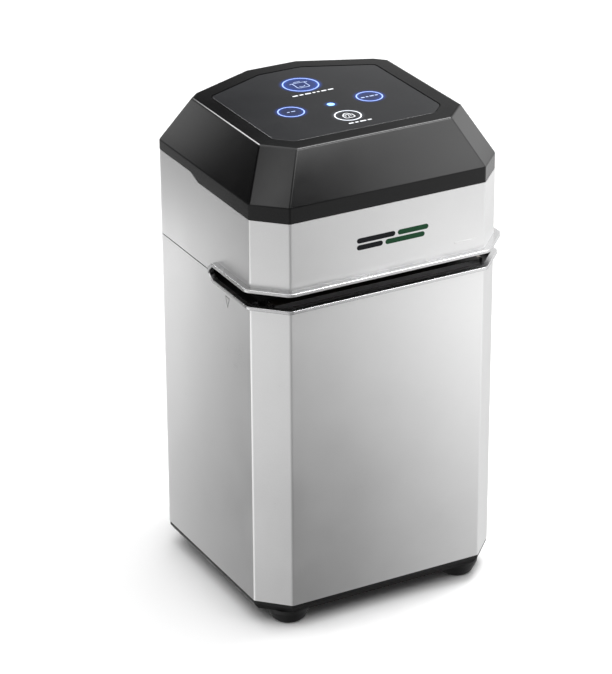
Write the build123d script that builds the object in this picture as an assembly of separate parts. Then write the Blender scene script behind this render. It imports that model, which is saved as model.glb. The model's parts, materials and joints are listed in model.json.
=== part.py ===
"""Tower vacuum packing machine: a faceted steel tower with a hinged head, a bag slot between them,
a motor-driven clamp jaw in the head, and the vacuum pump and power supply in the tower.

Millimetres. +Z up, the front faces -Y, and the origin is on the floor under the middle of the plan.
Depths written as "back" are measured from the front face towards the rear.
"""

import math
import os

from build123d import *

# ---------------------------------------------------------------- driving dimensions: outside
body_width = 200.0
body_depth = 197.0
front_chamfer = 21.0
rear_corner = 9.0
rear_flat = 64.0
rear_facet_rise = 26.0
front_edge_radius = 3.0
cover_edge_radius = 2.4
rear_edge_radius = 7.0
shell_wall = 1.2

foot_height = 12.0
base_height = 8.0
tower_height = 240.2
seam_gap = 0.8
band_height = 61.5
band_rear_rise = 4.2
skirt_height = 11.5
hip_height = 34.4
hip_inset = 18.5
hip_front_inset = 20.5
hip_rear_inset = 21.0

slot_height = 11.5
slot_floor_drop = 2.4
slot_side_back = 70.0
slot_end_back = 86.0
slot_slope = 8.0
upper_lip_out = 5.0
upper_lip_thick = 2.5
lower_lip_out = 3.0
lower_lip_thick = 2.7
lip_taper_back = 76.0

hinge_out = 4.2
hinge_barrel_radius = 3.8
hinge_pin_radius = 1.6
hinge_width = 56.0
hinge_leaf_height = 21.0
hinge_leaf_thick = 2.0

# ---------------------------------------------------------------- driving dimensions: fits
fit_gap = 0.4
running_gap = 0.05
screw_gap = 0.1
moulding_wall = 2.5

# ---------------------------------------------------------------- driving dimensions: mechanism
jaw_travel = 10.5
bag_film = 0.6
seal_length = 168.0
seal_depth = 10.0
seal_back = 14.0
seal_bar_thick = 3.5
seal_tape_thick = 0.2
heating_strip_width = 3.2
heating_strip_thick = 0.3
chamber_length = 162.0
chamber_depth = 26.0
chamber_back = 34.0
chamber_drop = 13.0
gasket_width = 4.5
gasket_inset = 1.5
deck_thick = 3.0
deck_below_sill = 4.8
jaw_pad_thick = 2.5
jaw_block_height = 17.5
jaw_plate_thick = 3.0

shaft_radius = 3.0
shaft_back = chamber_back + chamber_depth + 18.0
shaft_above_plate = 24.0
pinion_module = 1.25
pinion_teeth = 12
drive_module = 1.0
drive_teeth = 36
motor_teeth = 12
gear_backlash = 0.18
tooth_addendum = 0.7
tooth_dedendum = 1.25
pressure_angle = math.radians(20.0)
rack_at_x = 50.0
pinion_width = 8.0
drive_gear_x = 30.0
drive_gear_width = 6.0
guide_post_radius = 3.0
guide_post_x = 40.0

lock_pin_radius = 2.5
lock_pin_reach = 33.5
lock_pin_angle = math.radians(-75.0)
hook_thick = 4.0
hook_side_inset = 13.0
hook_arm_half = 4.0
hook_nose_thick = 4.4

pump_motor_radius = 24.0
pump_motor_length = 60.0
pump_back = 55.0
pump_height = 70.0
pump_case_width = 32.0
hose_radius = 4.5
hose_bore = 2.5

glass_thick = 2.0
panel_inset = 13.0
panel_radius = 8.0
panel_gap = 0.7
ledge_width = 3.0
icon_large_radius = 13.6
icon_small_radius = 9.9
icon_ring_width = 0.9
icon_depth = 0.6
status_led_radius = 2.8

# ---------------------------------------------------------------- places that follow
front_y = -(upper_lip_out + body_depth + hinge_out + hinge_barrel_radius) / 2 + upper_lip_out
back_y = front_y + body_depth
half_width = body_width / 2
base_z = foot_height
tower_z = base_z + base_height
seam_low = tower_z + tower_height
seam_high = seam_low + seam_gap
sill_z = seam_low - slot_floor_drop
lintel_z = sill_z + slot_height
band_z = seam_high + band_height
knee_z = band_z + skirt_height
roof_z = knee_z + hip_height
hinge_y = back_y + hinge_out
hinge_z = (seam_low + seam_high) / 2
deck_z = sill_z - deck_below_sill
seal_top = deck_z + seal_bar_thick + seal_tape_thick
jaw_low = seal_top + bag_film + jaw_travel
jaw_block_z = jaw_low + jaw_pad_thick
jaw_plate_z = jaw_block_z + jaw_block_height
head_tray_z = lintel_z + 0.7
head_tray_thick = 2.5
head_floor = head_tray_z + head_tray_thick
shaft_y = front_y + shaft_back
shaft_z = jaw_plate_z + jaw_plate_thick + shaft_above_plate
pinion_radius = pinion_module * pinion_teeth / 2
drive_radius = drive_module * drive_teeth / 2
motor_radius = drive_module * motor_teeth / 2
motor_y = shaft_y + drive_radius + motor_radius
rack_line_y = shaft_y + pinion_radius
hook_x = half_width - hook_side_inset


# ---------------------------------------------------------------- helpers
def block(x0, x1, y0, y1, z0, z1):
    """A box from its limits along each axis."""
    centre = Pos((x0 + x1) / 2, (y0 + y1) / 2, (z0 + z1) / 2)
    return centre * Box(x1 - x0, y1 - y0, z1 - z0)


def rod_x(radius, x0, x1, y, z):
    """A round bar along X."""
    return Pos((x0 + x1) / 2, y, z) * Rot(0, 90, 0) * Cylinder(radius, x1 - x0)


def rod_y(radius, y0, y1, x, z):
    """A round bar along Y."""
    return Pos(x, (y0 + y1) / 2, z) * Rot(90, 0, 0) * Cylinder(radius, y1 - y0)


def rod_z(radius, z0, z1, x, y):
    """A round bar along Z."""
    return Pos(x, y, (z0 + z1) / 2) * Cylinder(radius, z1 - z0)


def ring_z(outer, inner, z0, z1, x, y):
    """A round tube along Z."""
    return rod_z(outer, z0, z1, x, y) - rod_z(inner, z0 - 1, z1 + 1, x, y)


def prism(face, z0, z1):
    """A plan face drawn at Z 0, raised to stand from z0 to z1."""
    return Pos(0, 0, z0) * extrude(face, z1 - z0, dir=(0, 0, 1))


def group(solids):
    """Separate solids that share one node."""
    return Compound(children=[s for shape in solids for s in shape.solids()])


def mirrored(shape):
    """The shape's copy on the other side of the machine."""
    return mirror(shape, about=Plane.YZ)


def offset_points(points, grow):
    """A convex outline, listed anticlockwise, with each side moved out by grow."""
    moved = []
    count = len(points)
    for i, (x, y) in enumerate(points):
        (ax, ay), (bx, by) = points[i - 1], points[(i + 1) % count]
        before = math.atan2(y - ay, x - ax)
        turn = (math.atan2(by - y, bx - x) - before + math.pi) % (2 * math.pi) - math.pi
        reach = grow / math.cos(turn / 2)
        moved.append((x + reach * math.sin(before + turn / 2), y - reach * math.cos(before + turn / 2)))
    return moved


def plan_points(grow=0.0):
    """The tower's outline in plan, anticlockwise from the front left."""
    side = half_width
    facet_x = rear_flat / 2
    right = [
        (side - front_chamfer, front_y),
        (side, front_y + front_chamfer),
        (side, back_y - rear_facet_rise - rear_corner),
        (side - rear_corner, back_y - rear_facet_rise),
        (facet_x, back_y),
    ]
    left = [(-x, y) for x, y in reversed(right)]
    return offset_points(right + left, grow)


def rounded(points, radii):
    """A closed face through points, each corner rounded by its own radius."""
    face = make_face(Polyline(*points, close=True))
    for radius in sorted(set(r for r in radii if r > 0.05)):
        spots = [p for p, r in zip(points, radii) if r == radius]
        near = [v for v in face.vertices()
                if min(math.dist((v.X, v.Y), p) for p in spots) < 1e-3]
        face = fillet(near, radius)
    return face


def plan(grow=0.0):
    """The tower's outline as a face, moved out by grow, with its upright edges rounded."""
    front = max(front_edge_radius + grow, 0.3)
    rear = max(rear_edge_radius + grow, 0.3)
    return rounded(plan_points(grow), [front, front, rear, rear, rear, rear, rear, rear, front, front])


def roof_points(grow=0.0):
    """The roof's outline, whose sides run parallel to the tower's."""
    side = half_width - hip_inset
    chamfer = front_chamfer - 1.5
    corner = rear_corner - 1.0
    rear = back_y - hip_rear_inset
    slope = rear_facet_rise / (half_width - rear_corner - rear_flat / 2)
    facet_rise = rear_facet_rise - 2.5
    right = [
        (side - chamfer, front_y + hip_front_inset),
        (side, front_y + hip_front_inset + chamfer),
        (side, rear - facet_rise - corner),
        (side - corner, rear - facet_rise),
        (side - corner - facet_rise / slope, rear),
    ]
    left = [(-x, y) for x, y in reversed(right)]
    return offset_points(right + left, grow)


def panel(grow=0.0):
    """The control panel's outline, moved out by grow."""
    radius = panel_radius + grow
    soft = [radius] * 10
    soft[2] = soft[3] = soft[6] = soft[7] = radius / 2
    return rounded(roof_points(grow - panel_inset), soft)


def side_band(lower, upper):
    """A strip seen from the side, between two lines of (back, z), across the whole width."""
    points = [(front_y + b, z) for b, z in lower] + [(front_y + b, z) for b, z in reversed(upper)]
    face = Plane.YZ * make_face(Polyline(*points, close=True))
    reach = half_width + 50
    return Pos(-reach, 0, 0) * extrude(face, 2 * reach, dir=(1, 0, 0))


def screw_z(x, y, seat_z, length, head=3.0, shank=1.5, up=True):
    """A pan-head screw on a seat at seat_z, with its shank going down, or up if up is False."""
    way = -1 if up else 1
    body = rod_z(shank, *sorted((seat_z, seat_z + way * length)), x, y)
    top = rod_z(head, *sorted((seat_z, seat_z - way * head * 0.6)), x, y)
    socket = rod_z(head * 0.45, *sorted((seat_z - way * head * 0.25, seat_z - way * head)), x, y)
    return body + top - socket


def screw_y(x, z, seat_y, length, head=3.0, shank=1.5):
    """A pan-head screw on a face at seat_y, with its shank going forwards."""
    body = rod_y(shank, seat_y - length, seat_y, x, z)
    top = rod_y(head, seat_y, seat_y + head * 0.5, x, z)
    socket = rod_y(head * 0.45, seat_y + head * 0.2, seat_y + head, x, z)
    return body + top - socket


# ---------------------------------------------------------------- gears
def involute(angle):
    """The involute function of a pressure angle."""
    return math.tan(angle) - angle


def gear_points(module, teeth, turn):
    """The outline of a spur gear, with one tooth's middle at the angle turn."""
    pitch = module * teeth / 2
    base = pitch * math.cos(pressure_angle)
    root = pitch - tooth_dedendum * module
    tip = pitch + tooth_addendum * module
    half = (math.pi * module - gear_backlash) / (4 * pitch)
    start = max(base, root)
    radii = [root] if root < base else []
    radii += [start + (tip - start) * step / 5 for step in range(6)]

    def half_angle(radius):
        lean = math.acos(min(1.0, base / radius)) if radius > base else 0.0
        return half + involute(pressure_angle) - involute(lean)

    points = []
    for tooth in range(teeth):
        middle = turn + 2 * math.pi * tooth / teeth
        for radius in radii:
            angle = middle - half_angle(radius)
            points.append((radius * math.cos(angle), radius * math.sin(angle)))
        for radius in reversed(radii):
            angle = middle + half_angle(radius)
            points.append((radius * math.cos(angle), radius * math.sin(angle)))
    return points


def spur_gear(module, teeth, turn, x0, x1, y, z, bore):
    """A spur gear on an axle along X."""
    face = Plane.YZ * make_face(Polyline(*gear_points(module, teeth, turn), close=True))
    body = Pos(x0, y, z) * extrude(face, x1 - x0, dir=(1, 0, 0))
    return body - rod_x(bore, x0 - 1, x1 + 1, y, z)


def rack_bar(x0, x1, z0, z1, thick):
    """An upright rack whose teeth face forwards and mesh with a pinion at shaft_z."""
    pitch = math.pi * pinion_module
    rise = tooth_addendum * pinion_module
    depth = tooth_dedendum * pinion_module
    lean = math.tan(pressure_angle)
    half = pitch / 4 - gear_backlash / 4
    root_y = rack_line_y + depth
    tip_y = rack_line_y - rise
    points = [(root_y + thick, z0), (root_y, z0)]
    first = math.ceil((z0 + pitch / 2 - shaft_z) / pitch - 0.5)
    last = math.floor((z1 - pitch / 2 - shaft_z) / pitch - 0.5)
    for tooth in range(first, last + 1):
        middle = shaft_z + (tooth + 0.5) * pitch
        points += [
            (root_y, middle - half - depth * lean),
            (tip_y, middle - half + rise * lean),
            (tip_y, middle + half - rise * lean),
            (root_y, middle + half + depth * lean),
        ]
    points += [(root_y, z1), (root_y + thick, z1)]
    face = Plane.YZ * make_face(Polyline(*points, close=True))
    return Pos(x0, 0, 0) * extrude(face, x1 - x0, dir=(1, 0, 0))


# ---------------------------------------------------------------- the slot's lines, seen from the side
far_front = -40.0
far_back = body_depth + 40.0


def sill_line(z_front, z_rear, shift):
    """A line of (back, z) along the tower's top edge, lower at the front than at the rear."""
    return [
        (far_front, z_front),
        (slot_side_back + shift, z_front),
        (slot_side_back + shift + slot_slope / 2, z_rear),
        (slot_end_back, z_rear),
    ]


def lower_trim_lines():
    """The lower lip's underside and top."""
    under = sill_line(sill_z - lower_lip_thick, seam_low - lower_lip_thick, 3.0)
    top = sill_line(sill_z, seam_low, 2.0)
    return under, top


def upper_trim_lines():
    """The upper lip's underside and top."""
    under = [
        (far_front, lintel_z),
        (slot_side_back, lintel_z),
        (slot_side_back + slot_slope, seam_high),
        (slot_end_back, seam_high),
    ]
    top = [
        (far_front, lintel_z + upper_lip_thick),
        (slot_side_back + 1, lintel_z + upper_lip_thick),
        (slot_side_back + slot_slope + 1, seam_high + upper_lip_thick),
        (slot_end_back, seam_high + upper_lip_thick),
    ]
    return under, top


def lip_plan(out):
    """The outline of a lip that stands out all round the slot and tapers to nothing at its ends."""
    corner = out * math.tan(math.pi / 8)
    right = [
        (half_width - front_chamfer + corner, front_y - out),
        (half_width + out, front_y + front_chamfer - corner),
        (half_width + out, front_y + lip_taper_back),
        (half_width, front_y + slot_end_back),
    ]
    left = [(-x, y) for x, y in reversed(right)]
    points = right + left
    radii = [front_edge_radius + out] * 2 + [0, 0, 0, 0] + [front_edge_radius + out] * 2
    return rounded(points, radii)


def lip(out, lines):
    """A lip round the slot, following the slot's edge up or down at its ends."""
    z_low = min(z for line in lines for _, z in line) - 1
    z_high = max(z for line in lines for _, z in line) + 1
    ring = prism(lip_plan(out), z_low, z_high) - prism(plan(-shell_wall), z_low - 1, z_high + 1)
    solid = ring & side_band(*lines)
    edges = [e for e in solid.edges() if e.center().Y < front_y - out + 0.01 and e.length > 50]
    return fillet(edges, 0.6)


# ---------------------------------------------------------------- tower: outside
vent_slots = 9
vent_width = 44.0
vent_slot_height = 3.0
vent_pitch = 7.0
vent_z = 110.0
inlet_z = 55.0
inlet_width = 28.0
inlet_height = 22.0
mark_back = 55.5
mark_drop = 7.2
mark_half = 3.7
mark_height = 9.0
mark_line = 0.8
mark_depth = 0.4


def tower_shell():
    """The steel wrap of the tower, with its slot edge, vents, inlet opening and side mark."""
    shell = prism(plan(), tower_z, seam_low) - prism(plan(-shell_wall), tower_z - 1, seam_low + 1)
    under, _ = lower_trim_lines()
    above = [(b, seam_low + 20) for b, _ in under]
    shell -= side_band(under, above)
    for i in range(vent_slots):
        z = vent_z + i * vent_pitch
        shell -= block(-vent_width / 2, vent_width / 2, back_y - 5, back_y + 5, z, z + vent_slot_height)
    shell -= block(-inlet_width / 2, inlet_width / 2, back_y - 5, back_y + 5,
                   inlet_z - inlet_height / 2, inlet_z + inlet_height / 2)
    shell -= hinge_screw_holes(-1)
    return shell - side_mark()


def side_mark():
    """The triangle's outline engraved on the left side, pointing down."""
    y, top = front_y + mark_back, sill_z - mark_drop
    outer = [(y - mark_half, top), (y, top - mark_height), (y + mark_half, top)]
    line = make_face(Polyline(*outer, close=True))
    line -= make_face(Polyline(*offset_points(outer, -mark_line), close=True))
    face = Plane.YZ.offset(-half_width - 1) * line
    return extrude(face, 1 + mark_depth, dir=(1, 0, 0))


def base_tray():
    """The moulded base: a tapered plinth, a floor, a rim inside the shell and the screw bosses."""
    plinth_top = rounded(plan_points(-0.6), [2.0, 2.0] + [6.0] * 6 + [2.0, 2.0])
    plinth_foot = plan_points(-4.0)
    outer = prism(plinth_top, base_z, tower_z)
    taper = loft([Pos(0, 0, base_z) * make_face(Polyline(*plinth_foot, close=True)),
                  Pos(0, 0, tower_z - 2) * make_face(Polyline(*plan_points(0.0), close=True))], ruled=True)
    outer = (outer & taper) + prism(plinth_top, tower_z - 2.01, tower_z)
    rim = prism(plan(-shell_wall - fit_gap), tower_z, tower_z + 10)
    tray = outer + rim
    tray -= prism(plan(-shell_wall - fit_gap - moulding_wall), base_z + 3, tower_z + 11)
    for x, y in post_spots():
        tray += rod_z(6, base_z + 3, tower_z, x, y)
        tray -= rod_z(1.5 + screw_gap, base_z - 1, tower_z + 1, x, y)
    for x, y in foot_spots():
        tray += rod_z(5, base_z + 3, tower_z, x, y)
        tray -= rod_z(1.5 + screw_gap, base_z - 1, tower_z + 1, x, y)
    for i in range(7):
        x = -24 + i * 8
        tray -= block(x - 1.5, x + 1.5, back_y - 77, back_y - 32, base_z - 1, base_z + 4)
    return tray


foot_side_inset = 28.0
foot_front_inset = 20.0
foot_rear_inset = 47.0
foot_top_radius = 16.0
foot_bottom_radius = 12.5


def foot_spots():
    """Where the four feet stand."""
    x = half_width - foot_side_inset
    return [(sx * x, y) for y in (front_y + foot_front_inset, back_y - foot_rear_inset) for sx in (-1, 1)]


def foot(x, y):
    """A tapered rubber foot with a recessed screw hole."""
    outline = [
        (0, 0), (foot_bottom_radius - 2, 0), (foot_bottom_radius, 1.6),
        (foot_top_radius, foot_height - 3), (foot_top_radius, foot_height), (0, foot_height),
    ]
    body = revolve(Plane.XZ * make_face(Polyline(*outline, close=True)), Axis.Z)
    edges = [e for e in body.edges() if 1 < e.center().Z < foot_height - 1]
    body = fillet(edges, 1.2)
    body -= rod_z(4.8, -1, 6, 0, 0) + rod_z(1.5 + screw_gap, 5, foot_height + 1, 0, 0)
    return Pos(x, y, 0) * body


def foot_screws():
    """The screws that hold the feet."""
    return group([screw_z(x, y, 6.0, 12.0, head=4.0, up=False) for x, y in foot_spots()])


post_radius = 4.0
post_side_inset = 9.0
tie_post_inset = 63.0
head_post_inset = 53.0


def post_spots():
    """Where the tower's tie posts stand."""
    x = half_width - post_side_inset
    return [(sx * x, y) for y in (front_y + 29.0, back_y - tie_post_inset) for sx in (-1, 1)]


def tie_posts():
    """Steel posts that tie the base to the deck, with the shell between them."""
    posts = []
    for x, y in post_spots():
        post = rod_z(post_radius, tower_z, deck_z - deck_thick, x, y)
        for z0, z1 in ((tower_z - 1, tower_z + 12), (deck_z - deck_thick - 12, deck_z)):
            post -= rod_z(1.5, z0, z1, x, y)
        posts.append(post)
    return group(posts)


def tie_screws():
    """The screws at both ends of the tie posts."""
    screws = []
    for x, y in post_spots():
        screws.append(screw_z(x, y, deck_z, 11.0))
        screws.append(screw_z(x, y, base_z, 16.0, up=False))
    return group(screws)


# ---------------------------------------------------------------- tower: deck and lower jaw
nipple_x = 67.0
valve_x = -60.0


def chamber_box(grow, z0, z1):
    """A box round the vacuum chamber, moved out by grow."""
    half = chamber_length / 2 + grow
    near = front_y + chamber_back - grow
    return block(-half, half, near, near + chamber_depth + 2 * grow, z0, z1)


def jaw_deck():
    """The moulded deck that closes the tower, with the vacuum chamber sunk in it."""
    deck = prism(plan(-shell_wall - fit_gap), deck_z - deck_thick, deck_z)
    skirt = prism(plan(-shell_wall - fit_gap), deck_z - 12, deck_z - deck_thick)
    skirt -= prism(plan(-shell_wall - fit_gap - 2), deck_z - 13, deck_z)
    deck += skirt
    deck += chamber_box(2.0, deck_z - chamber_drop - 2, deck_z - deck_thick)
    chamber_y = front_y + chamber_back + chamber_depth / 2
    floor = deck_z - chamber_drop
    for x, drop in ((nipple_x, 14), (valve_x, 10)):
        deck += rod_z(hose_bore + 2 if x < 0 else hose_bore - running_gap, floor - drop, floor, x, chamber_y)
    deck -= chamber_box(0.0, floor, deck_z + 1)
    deck -= rod_z(1.4, floor - 20, floor + 1, nipple_x, chamber_y)
    deck -= rod_z(hose_bore, floor - 20, floor + 1, valve_x, chamber_y)
    for x, y in post_spots():
        deck -= rod_z(1.5 + screw_gap, deck_z - 5, deck_z + 1, x, y)
    for sx in (-1, 1):
        for back in (striker_back() - 12, striker_back() + 12):
            deck -= rod_z(1.5, deck_z - 5, deck_z + 1, sx * striker_foot_x, front_y + back)
    return deck - hinge_screw_holes(-1)


def gasket(z0, z1):
    """A rounded ring of foam rubber round the vacuum chamber."""
    y = front_y + chamber_back + chamber_depth / 2
    inner_l, inner_d = chamber_length + 2 * gasket_inset, chamber_depth + 2 * gasket_inset
    outer = RectangleRounded(inner_l + 2 * gasket_width, inner_d + 2 * gasket_width, 4 + gasket_width)
    ring = prism(Pos(0, y) * (outer - RectangleRounded(inner_l, inner_d, 4)), z0, z1)
    lip_edges = ring.edges().group_by(Axis.Z)[0 if z0 > deck_z + 1 else -1]
    return fillet(lip_edges, 1.2)


def seal_bar():
    """The aluminium bar under the heating strip, with a groove for it."""
    y = front_y + seal_back
    half = seal_length / 2
    bar = block(-half, half, y, y + seal_depth, deck_z, deck_z + seal_bar_thick)
    mid = y + seal_depth / 2
    groove = heating_strip_width / 2
    top = deck_z + seal_bar_thick
    return bar - block(-half - 1, half + 1, mid - groove, mid + groove, top - heating_strip_thick, top + 1)


def heating_strip():
    """The flat heating element, flush in its groove."""
    mid = front_y + seal_back + seal_depth / 2
    half = seal_length / 2
    top = deck_z + seal_bar_thick
    width = heating_strip_width / 2
    return block(-half - 3, half + 3, mid - width, mid + width, top - heating_strip_thick, top)


def seal_tape():
    """The non-stick tape over the heating strip."""
    y = front_y + seal_back
    half = seal_length / 2
    top = deck_z + seal_bar_thick
    return block(-half, half, y, y + seal_depth, top, top + seal_tape_thick)


def strip_terminals():
    """Brass blocks that clamp the heating strip's ends."""
    mid = front_y + seal_back + seal_depth / 2
    half = seal_length / 2
    top = deck_z + seal_bar_thick - heating_strip_thick
    one = block(half + 0.2, half + 3.4, mid - 3, mid + 3, deck_z, top)
    return group([one, mirrored(one)])


def drip_tray():
    """The lift-out tray that catches liquid in the vacuum chamber."""
    floor = deck_z - chamber_drop
    gap = 0.5
    x0, x1 = -chamber_length / 2 + gap, chamber_length / 2 - 14
    y0 = front_y + chamber_back + gap
    y1 = y0 + chamber_depth - 2 * gap
    tray = block(x0, x1, y0, y1, floor, deck_z - 3)
    tray = fillet(tray.edges().filter_by(Axis.Z), 3.0)
    inner = block(x0 + 1.2, x1 - 1.2, y0 + 1.2, y1 - 1.2, floor + 1.2, deck_z)
    tray -= fillet(inner.edges().filter_by(Axis.Z), 1.8)
    tray += block(x1 - 1.2, x1 + 6, (y0 + y1) / 2 - 7, (y0 + y1) / 2 + 7, deck_z - 4.2, deck_z - 3)
    tray -= rod_z(valve_hole_radius, floor - 1, floor + 2, valve_x, (y0 + y1) / 2)
    return tray


valve_hole_radius = 4.0
striker_plate_x = hook_x - 3.0
striker_plate_thick = 2.0
striker_foot_x = hook_x - 8.0


def striker_back():
    """How far behind the front face the lock pins lie."""
    return shaft_back + lock_pin_reach * math.cos(lock_pin_angle)


def lock_striker(side):
    """A bent steel bracket on the deck with the pin that the lock hook catches."""
    y = front_y + striker_back()
    z = shaft_z + lock_pin_reach * math.sin(lock_pin_angle)
    x0, x1 = striker_plate_x, striker_plate_x + striker_plate_thick
    part = block(x0, x1, y - 5, y + 5, deck_z, z + 5)
    part += block(x0 - 10, x1, y - 16, y + 16, deck_z, deck_z + striker_plate_thick)
    for dy in (-12, 12):
        part -= rod_z(1.5 + screw_gap, deck_z - 1, deck_z + 3, striker_foot_x, y + dy)
    part += rod_x(lock_pin_radius, x0, hook_x + hook_thick + 1, y, z)
    return part if side > 0 else mirrored(part)


def striker_screws():
    """The screws that hold the lock brackets."""
    seat = deck_z + striker_plate_thick
    y = front_y + striker_back()
    return group([screw_z(sx * striker_foot_x, y + dy, seat, 5.0) for sx in (-1, 1) for dy in (-12, 12)])


# ---------------------------------------------------------------- tower: pump
pump_motor_x0 = -66.0
pump_shaft_radius = 3.0


def pump_axis():
    """The pump shaft's place, as (y, z)."""
    return front_y + pump_back, pump_height


def pump_motor():
    """The pump motor's can, with its end bosses and shaft bore."""
    y, z = pump_axis()
    x0, x1 = pump_motor_x0, pump_motor_x0 + pump_motor_length
    can = rod_x(pump_motor_radius, x0, x1, y, z)
    can = fillet(can.edges().filter_by(GeomType.CIRCLE), 2.5)
    can += rod_x(9, x0 - 3, x0 + 1, y, z)
    return can - rod_x(pump_shaft_radius + running_gap, x0 - 5, x1 + 5, y, z)


def pump_crankcase():
    """The cast case round the pump's eccentric."""
    y, z = pump_axis()
    x0 = pump_motor_x0 + pump_motor_length
    x1 = x0 + pump_case_width
    case = block(x0, x1, y - 25, y + 25, z - 26, z + 28)
    case = fillet(case.edges().filter_by(Axis.X), 6.0)
    case -= block(x0 + 4, x1 - 4, y - 20, y + 20, z - 20, z + 20)
    case -= rod_x(pump_shaft_radius + running_gap, x0 - 1, x1 - 3, y, z)
    return case


def pump_head():
    """The valve block on the pump case, with its suction nozzle and exhaust silencer."""
    y, z = pump_axis()
    x0 = pump_motor_x0 + pump_motor_length + 1
    x1 = x0 + pump_case_width - 2
    top = z + 50
    head = block(x0, x1, y - 20, y + 20, z + 28, top)
    for i in range(4):
        low = z + 32 + i * 4.5
        head -= block(x0 - 1, x1 + 1, y - 21, y - 17, low, low + 2)
        head -= block(x0 - 1, x1 + 1, y + 17, y + 21, low, low + 2)
    mid = (x0 + x1) / 2
    head += rod_z(hose_bore - running_gap, top, top + 12, mid, y + 8)
    head += rod_z(6, top, top + 9, mid, y - 9)
    return head - rod_z(1.4, top - 8, top + 13, mid, y + 8)


def pump_rotor():
    """The pump's turning set: shaft, eccentric with its counterweight, and cooling fan."""
    y, z = pump_axis()
    x0 = pump_motor_x0
    case = x0 + pump_motor_length
    shaft = rod_x(pump_shaft_radius, x0 - 12, case + pump_case_width - 4, y, z)
    eccentric = rod_x(9, case + 12, case + 20, y, z + 2.5)
    weight = rod_x(12, case + 6, case + 10, y, z) & block(case, case + 30, y - 20, y + 20, z - 20, z + 1)
    return shaft + eccentric + weight


def pump_fan():
    """The fan on the pump shaft's free end."""
    y, z = pump_axis()
    x1 = pump_motor_x0 - 4
    fan = rod_x(8, x1 - 8, x1, y, z)
    for i in range(7):
        blade = Pos(x1 - 4, 0, 13) * Rot(0, 0, 32) * Box(1.2, 8, 17)
        fan += Pos(0, y, z) * Rot(i * 360 / 7, 0, 0) * blade
    return fan - rod_x(pump_shaft_radius, x1 - 9, x1 + 1, y, z)


def pump_base():
    """The steel plate and saddle that carry the pump."""
    y, z = pump_axis()
    plate = block(-62, 30, y - 30, y + 30, 27, 29)
    saddle = block(-52, -20, y - 18, y + 18, 29, z - 12)
    saddle -= rod_x(pump_motor_radius, -60, 0, y, z)
    riser = block(-4, 24, y - 16, y + 16, 29, z - 26)
    plate = plate + saddle + riser
    for x, dy in pump_mount_spots():
        plate -= rod_z(3, 20, 30, x, y + dy)
    return plate


def pump_mount_spots():
    """Where the pump's rubber mounts stand, as (x, distance from the pump's axis)."""
    return [(x, dy) for x in (-57, 25) for dy in (-25, 25)]


def pump_mounts():
    """Rubber mounts between the pump's plate and the base."""
    y, _ = pump_axis()
    mounts = []
    for x, dy in pump_mount_spots():
        body = rod_z(6, base_z + 3, 27, x, y + dy) + rod_z(3, 27, 29, x, y + dy)
        mounts.append(body + rod_z(5, 29, 31, x, y + dy))
    return group(mounts)


def vacuum_hose():
    """The silicone hose from the pump to the vacuum chamber."""
    y, z = pump_axis()
    pump_x = pump_motor_x0 + pump_motor_length + pump_case_width / 2
    start_z = z + 50
    end_z = deck_z - chamber_drop - 2
    chamber_y = front_y + chamber_back + chamber_depth / 2
    points = [
        (pump_x, y + 8, start_z), (pump_x, y + 8, start_z + 36), (pump_x + 12, y + 5, start_z + 64),
        (nipple_x - 8, chamber_y + 2, end_z - 56), (nipple_x, chamber_y, end_z - 34),
        (nipple_x, chamber_y, end_z),
    ]
    path = FilletPolyline(*points, radius=[26, 26, 20, 26])
    section = Plane(origin=points[0], z_dir=(0, 0, 1)) * (Circle(hose_radius) - Circle(hose_bore))
    return sweep(section, path)


def release_valve():
    """The solenoid valve that lets air back into the chamber."""
    y = front_y + chamber_back + chamber_depth / 2
    top = deck_z - chamber_drop - 14
    body = block(valve_x - 11, valve_x + 11, y - 10, y + 10, top - 30, top)
    body += rod_z(hose_bore - running_gap, top, top + 14, valve_x, y)
    body += block(valve_x - 13, valve_x + 13, y - 12, y + 12, top - 32, top - 29)
    return body - rod_z(4 + running_gap, top - 33, top - 8, valve_x, y)


def valve_plunger():
    """The solenoid's sliding core."""
    y = front_y + chamber_back + chamber_depth / 2
    top = deck_z - chamber_drop - 14
    core = rod_z(4, top - 40, top - 12, valve_x, y)
    return core + rod_z(6, top - 42, top - 40, valve_x, y)


# ---------------------------------------------------------------- tower: power
chassis_back = 100.0
chassis_half = 66.0


def chassis():
    """The bent steel plate that carries the power supply behind the pump."""
    y = front_y + chassis_back
    plate = block(-chassis_half, chassis_half, y, y + 1.5, base_z + 3, 190)
    plate += block(-chassis_half, chassis_half, y, y + 16, base_z + 3, base_z + 4.5)
    plate -= block(-40, 40, y - 1, y + 3, 150, 180)
    for x, z in standoff_spots():
        plate -= rod_y(1.2, y - 1, y + 3, x, z)
    return plate


def standoff_spots():
    """Where the power board's standoffs are, as (x, z)."""
    return [(x, z) for x in (-54, 54) for z in (60, 136)]


def board_standoffs():
    """Brass standoffs between the chassis and the power board."""
    y = front_y + chassis_back + 1.5
    return group([rod_y(3, y, y + 8, x, z) for x, z in standoff_spots()])


def power_board():
    """The power supply's circuit board."""
    y = front_y + chassis_back + 9.5
    board = block(-60, 60, y, y + 1.6, 54, 142)
    for x, z in standoff_spots():
        board -= rod_y(1.5, y - 1, y + 3, x, z)
    return board


def transformer():
    """The supply's transformer: a laminated core with its wound bobbin."""
    y = front_y + chassis_back + 11.1
    core = block(-50, -8, y, y + 34, 64, 100)
    core -= block(-43, -34, y - 1, y + 35, 72, 92)
    core -= block(-24, -15, y - 1, y + 35, 72, 92)
    return core


def transformer_coil():
    """The transformer's winding, in the core's windows."""
    y = front_y + chassis_back + 11.1
    coil = block(-43, -15, y - 0.0, y + 38, 72.3, 91.7)
    coil -= block(-34.2, -23.8, y - 1, y + 34.2, 60, 100)
    return coil


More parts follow.
